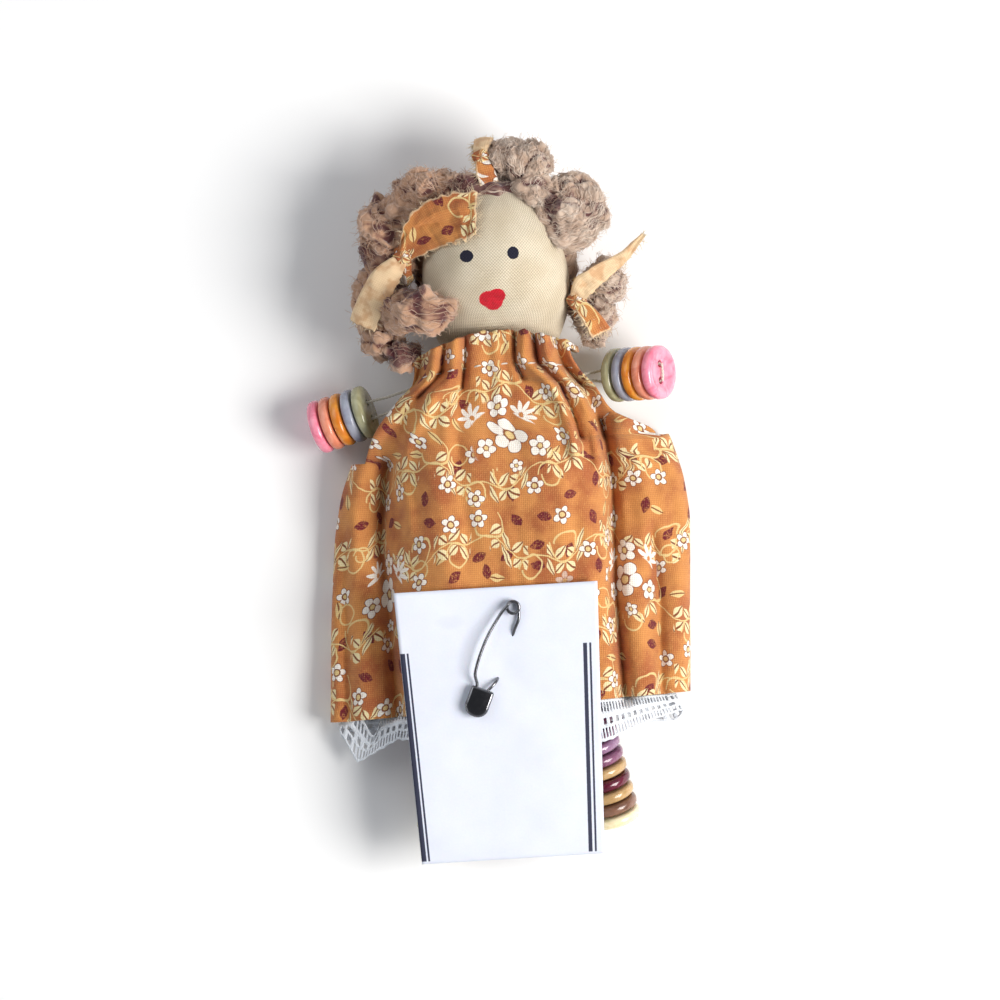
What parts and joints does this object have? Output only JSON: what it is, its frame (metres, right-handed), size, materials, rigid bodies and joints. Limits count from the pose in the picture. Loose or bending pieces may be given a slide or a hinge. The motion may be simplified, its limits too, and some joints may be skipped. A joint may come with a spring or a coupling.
{
  "type": "button rag doll",
  "caption": "Small stuffed rag doll lying on its back, with limbs of stacked buttons, wool hair tied with cloth, a gathered print dress, lace petticoat and a pinned card.",
  "frame": {"origin": "on the flat back of the dress, which lies on the surface z = 0, on the middle line between the neck edge and the hem", "axes": "+Y towards the head, +Z out of the face, +X to the doll's own left hand"},
  "size_m": [0.0847, 0.1631, 0.0331],
  "materials": {
    "muslin": "fine plain weave",
    "stuffing": "loose fibre",
    "thread": "twisted cotton",
    "dress_cotton": "printed calico with small flowers, plain weave",
    "tie_cotton": "torn printed calico with frayed pale edges",
    "petticoat_cotton": "plain white cotton",
    "lace": "ribbed white cotton lace",
    "wool_hair": "crimped wool, matt",
    "card_paper": "smooth white card with dark ruled border lines",
    "pin_steel": "nickel plated wire",
    "button_sage": "translucent",
    "button_grey": "semi gloss",
    "button_orange": "translucent",
    "button_salmon": "translucent",
    "button_pink": "semi gloss",
    "button_plum": "translucent",
    "button_lilac": "translucent",
    "button_mauve": "translucent",
    "button_tan": "translucent",
    "button_burgundy": "glossy",
    "button_brown": "translucent",
    "button_cream": "semi gloss"
  },
  "bodies": {
    "doll": {"body_cover": "muslin", "body_stuffing": "stuffing", "neck_thread": "thread", "dress": "dress_cotton", "gather_thread": "thread", "petticoat": "petticoat_cotton", "lace_trim": "lace", "hair_crown": "wool_hair", "hair_topknot": "wool_hair", "hair_left_curls": "wool_hair", "hair_right_curls": "wool_hair", "left_pigtail": "wool_hair", "right_pigtail": "wool_hair", "top_tie": "tie_cotton", "left_tie": "tie_cotton", "right_tie": "tie_cotton", "card": "card_paper", "pin_wire": "pin_steel", "pin_cap": "pin_steel"},
    "right_arm": {"right_arm_thread": "thread", "right_arm_button_1_sage": "button_sage", "right_arm_button_2_grey": "button_grey", "right_arm_button_3_orange": "button_orange", "right_arm_button_4_salmon": "button_salmon", "right_arm_button_5_pink": "button_pink"},
    "right_leg": {"right_leg_thread": "thread", "right_leg_button_1_plum": "button_plum", "right_leg_button_2_dusk": "button_mauve", "right_leg_button_3_lilac": "button_lilac", "right_leg_button_4_mauve": "button_mauve", "right_leg_button_5_upper_tan": "button_tan", "right_leg_button_6_burgundy": "button_burgundy", "right_leg_button_7_lower_tan": "button_tan", "right_leg_button_8_brown": "button_brown", "right_leg_button_9_cream": "button_cream"},
    "left_arm": {"left_arm_thread": "thread", "left_arm_button_1_sage": "button_sage", "left_arm_button_2_grey": "button_grey", "left_arm_button_3_orange": "button_orange", "left_arm_button_4_salmon": "button_salmon", "left_arm_button_5_pink": "button_pink"},
    "left_leg": {"left_leg_thread": "thread", "left_leg_button_1_plum": "button_plum", "left_leg_button_2_dusk": "button_mauve", "left_leg_button_3_lilac": "button_lilac", "left_leg_button_4_mauve": "button_mauve", "left_leg_button_5_upper_tan": "button_tan", "left_leg_button_6_burgundy": "button_burgundy", "left_leg_button_7_lower_tan": "button_tan", "left_leg_button_8_brown": "button_brown", "left_leg_button_9_cream": "button_cream"}
  },
  "joints": [
    {"name": "right_arm_swing", "type": "hinge", "parent": "doll", "child": "right_arm", "pos_m": [-0.0174, 0.0194, 0.0114], "axis": [0, 0, 1], "range_deg": [-15, 8]},
    {"name": "left_arm_swing", "type": "hinge", "parent": "doll", "child": "left_arm", "pos_m": [0.0159, 0.022, 0.0108], "axis": [0, 0, 1], "range_deg": [-7, 2]},
    {"name": "right_leg_swing", "type": "hinge", "parent": "doll", "child": "right_leg", "pos_m": [-0.007, -0.0226, 0.0099], "axis": [0, 0, 1], "range_deg": [-5, 5]},
    {"name": "left_leg_swing", "type": "hinge", "parent": "doll", "child": "left_leg", "pos_m": [0.007, -0.0226, 0.0099], "axis": [0, 0, 1], "range_deg": [-5, 5]}
  ]
}
